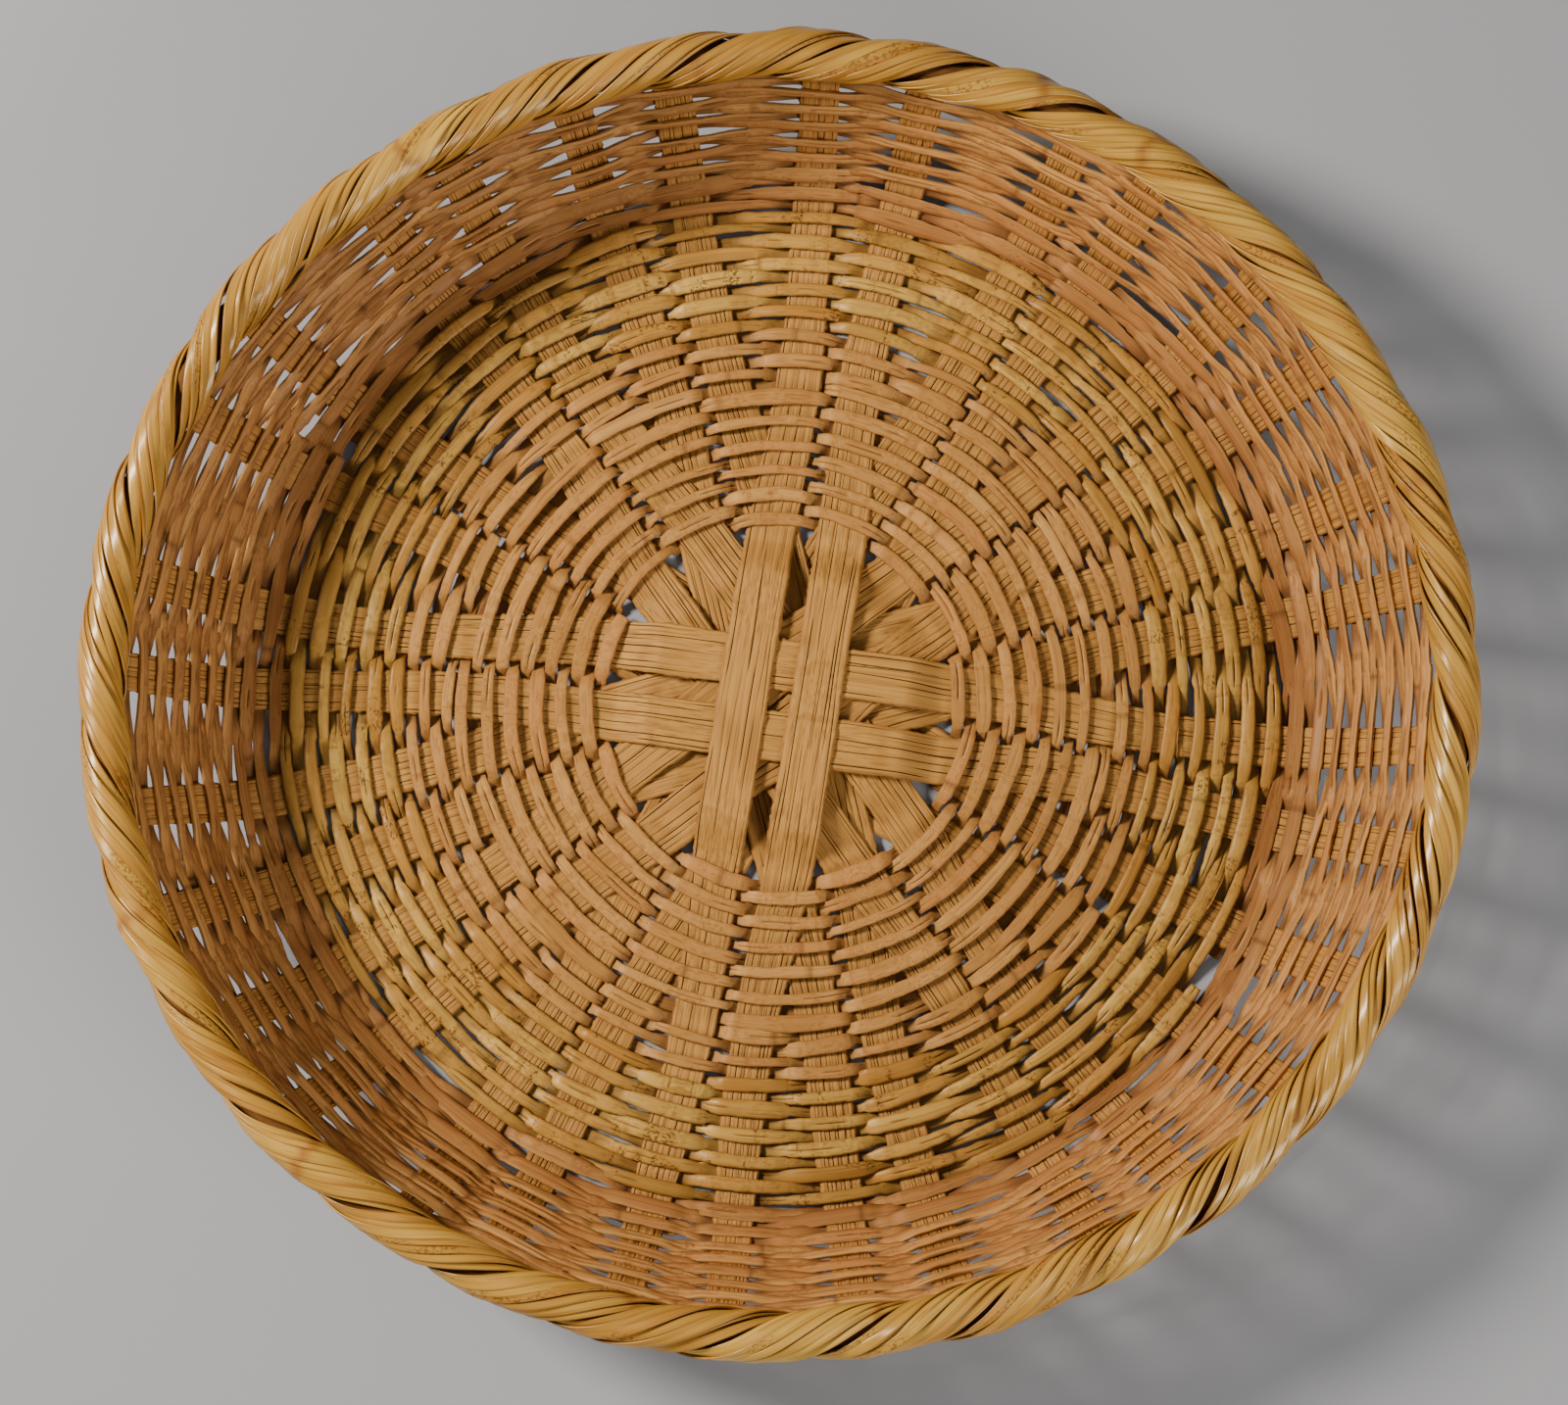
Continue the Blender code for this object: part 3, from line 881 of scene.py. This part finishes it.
def core_tube():
    """The dark filling of the rim, which shows between the bundles."""
    rng = np.random.default_rng(5)
    angle = np.linspace(0, FULL_TURN, 721)
    core, outward = rim_frame(angle)
    around = FULL_TURN * np.arange(INNER_CORE_SIDES) / INNER_CORE_SIDES
    radial = outward[:, None] * np.cos(around)[None, :, None] + UP * np.sin(around)[None, :, None]
    radius = INNER_CORE_RADIUS + 0.0003 * Wander(rng, 0.05)(angle)
    points = core[:, None] + radial * radius[:, None, None]
    return {
        "points": points[:, ::-1],
        "fields": {
            "along": angle[:, None] * RIM_X,
            "across": around * INNER_CORE_RADIUS,
            "tint": 0.4,
            "edge": 0.0,
            "dark": 0.0,
            "warm": 0.0,
        },
    }


# ---------------------------------------------------------------- build the basket

all_spokes = make_spokes()
all_arms = [arm for spoke in all_spokes for arm in spoke[2:]]
for order, (arm,) in enumerate(stroke_groups(all_arms, 1)):
    arm.first_over = 1.0 if order % 2 == 0 else -1.0

for seed, (name, pair, front, back) in enumerate(all_spokes, 1):
    tube_mesh(name + "_cane", [spoke_tube(front, back, pair, seed)], SPOKE_CANE, name)

for zone in ZONES:
    groups = stroke_groups(all_arms, zone.spokes)
    for chase, letter in enumerate("ab"):
        name = f"{zone.name}_{letter}"
        tube_mesh(name + "_cane", weaver_tubes(zone, groups, chase), zone.material, name)

for number in range(WRAP_COUNT):
    name = f"rim_wrap_{number + 1:02d}"
    tube_mesh(name + "_strips", wrap_tubes(number), RIM_RIND, name)
tube_mesh("rim_core_cane", [core_tube()], CORE_CANE, "rim_core")


# ---------------------------------------------------------------- floor, light and camera

FLOOR_HALF = 6.0
FLOOR_LEVEL = -0.0003
CAMERA_DISTANCE = 1.5
CAMERA_TILT = math.radians(5.5)
CAMERA_AIM = Vector((0.0018, -0.0045, RIM_HEIGHT * 0.75))


def add_floor():
    mesh = bpy.data.meshes.new("floor")
    corners = [(-1, -1), (1, -1), (1, 1), (-1, 1)]
    mesh.from_pydata([(x * FLOOR_HALF, y * FLOOR_HALF, 0) for x, y in corners], [], [(0, 1, 2, 3)])
    plane = bpy.data.objects.new("floor", mesh)
    plane.location.z = FLOOR_LEVEL
    bpy.context.scene.collection.objects.link(plane)
    paint = Shader("floor_paint")
    paint.put(paint.inputs["Base Color"], (0.32, 0.32, 0.328))
    paint.put(paint.inputs["Roughness"], 0.8)
    plane.data.materials.append(paint.material)


def add_light(name, place, aim, size, power, colour):
    data = bpy.data.lights.new(name, "AREA")
    data.shape = "DISK"
    data.size = size
    data.energy = power
    data.color = colour
    light = bpy.data.objects.new(name, data)
    light.location = place
    light.rotation_euler = (Vector(aim) - Vector(place)).to_track_quat("-Z", "Y").to_euler()
    bpy.context.scene.collection.objects.link(light)


def add_world():
    world = bpy.data.worlds.new("studio")
    bpy.context.scene.world = world
    world.use_nodes = True
    background = world.node_tree.nodes["Background"]
    background.inputs["Color"].default_value = (0.92, 0.95, 1.0, 1.0)
    background.inputs["Strength"].default_value = 0.08


def add_camera():
    data = bpy.data.cameras.new("camera")
    data.sensor_width = 36.0
    data.lens = 95.2
    camera = bpy.data.objects.new("camera", data)
    bpy.context.scene.collection.objects.link(camera)
    bpy.context.scene.camera = camera
    away = Vector((0.0, -math.sin(CAMERA_TILT), math.cos(CAMERA_TILT)))
    camera.location = CAMERA_AIM + away * CAMERA_DISTANCE
    camera.rotation_euler = (CAMERA_TILT, 0.0, 0.0)


add_floor()
add_light("key", (-1.42, 0.53, 1.24), (0, 0, 0.03), 0.50, 68, (1.0, 0.96, 0.91))
add_light("front_fill", (1.25, -1.25, 0.85), (0, 0, 0.03), 1.0, 32, (1.0, 0.98, 0.96))
add_light("top_fill", (0.5, -0.3, 2.2), (0, 0, 0), 1.6, 4, (0.96, 0.98, 1.0))
add_world()
add_camera()
